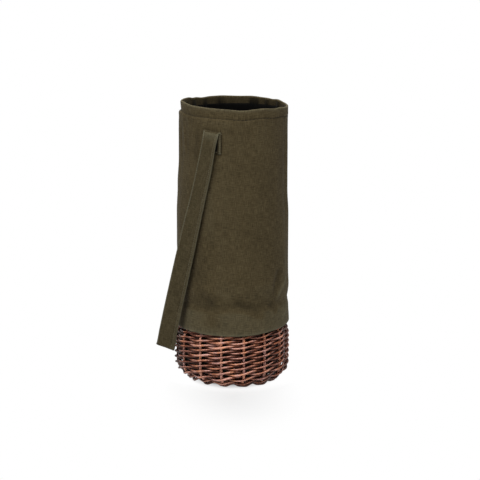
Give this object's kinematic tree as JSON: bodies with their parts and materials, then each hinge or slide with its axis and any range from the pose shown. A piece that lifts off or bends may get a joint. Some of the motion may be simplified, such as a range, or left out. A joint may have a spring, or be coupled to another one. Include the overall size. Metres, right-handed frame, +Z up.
{
  "type": "wine bottle basket",
  "caption": "Tall round bottle carrier: woven willow foot, insulated canvas tube with a hemmed open mouth, and a flat carry strap that swings over the top.",
  "frame": {"origin": "middle of the base's underside, on the basket's axis", "axes": "+Z up along the basket's axis, -Y towards the plain front, strap ends at -X and +X, strap hangs on the +Y side"},
  "size_m": [0.1478, 0.168, 0.355],
  "materials": {
    "stained_willow": "semi-gloss stained",
    "olive_canvas": "matte woven",
    "black_lining": "smooth coated",
    "white_foam": "matte",
    "olive_strap": "matte woven"
  },
  "bodies": {
    "basket": {"stake_01": "stained_willow", "stake_02": "stained_willow", "stake_03": "stained_willow", "stake_04": "stained_willow", "stake_05": "stained_willow", "stake_06": "stained_willow", "stake_07": "stained_willow", "stake_08": "stained_willow", "stake_09": "stained_willow", "stake_10": "stained_willow", "stake_11": "stained_willow", "stake_12": "stained_willow", "stake_13": "stained_willow", "stake_14": "stained_willow", "stake_15": "stained_willow", "weave_row_01": "stained_willow", "weave_row_02": "stained_willow", "weave_row_03": "stained_willow", "weave_row_04": "stained_willow", "weave_row_05": "stained_willow", "weave_row_06": "stained_willow", "weave_row_07": "stained_willow", "weave_row_08": "stained_willow", "weave_row_09": "stained_willow", "weave_row_10": "stained_willow", "weave_row_11": "stained_willow", "weave_row_12": "stained_willow", "weave_row_13": "stained_willow", "weave_row_14": "stained_willow", "weave_row_15": "stained_willow", "foot_row": "stained_willow", "base_stick_1": "stained_willow", "base_stick_2": "stained_willow", "base_stick_3": "stained_willow", "base_stick_4": "stained_willow", "base_stick_5": "stained_willow", "base_stick_6": "stained_willow", "base_stick_7": "stained_willow", "base_stick_8": "stained_willow", "base_weaver": "stained_willow", "canvas_shell": "olive_canvas", "rim_facing": "olive_canvas", "upper_foam": "white_foam", "lower_foam": "white_foam", "base_pad": "white_foam", "lining_wall": "black_lining", "lining_floor": "black_lining", "liner_sleeve": "black_lining", "strap_end_left": "olive_strap", "strap_end_right": "olive_strap"},
    "strap": {"strap_loop": "olive_strap"}
  },
  "joints": [
    {"name": "strap_swing", "type": "hinge", "parent": "basket", "child": "strap", "pos_m": [0, 0, 0.3272], "axis": [1, 0, 0], "range_deg": [0, 322]}
  ]
}
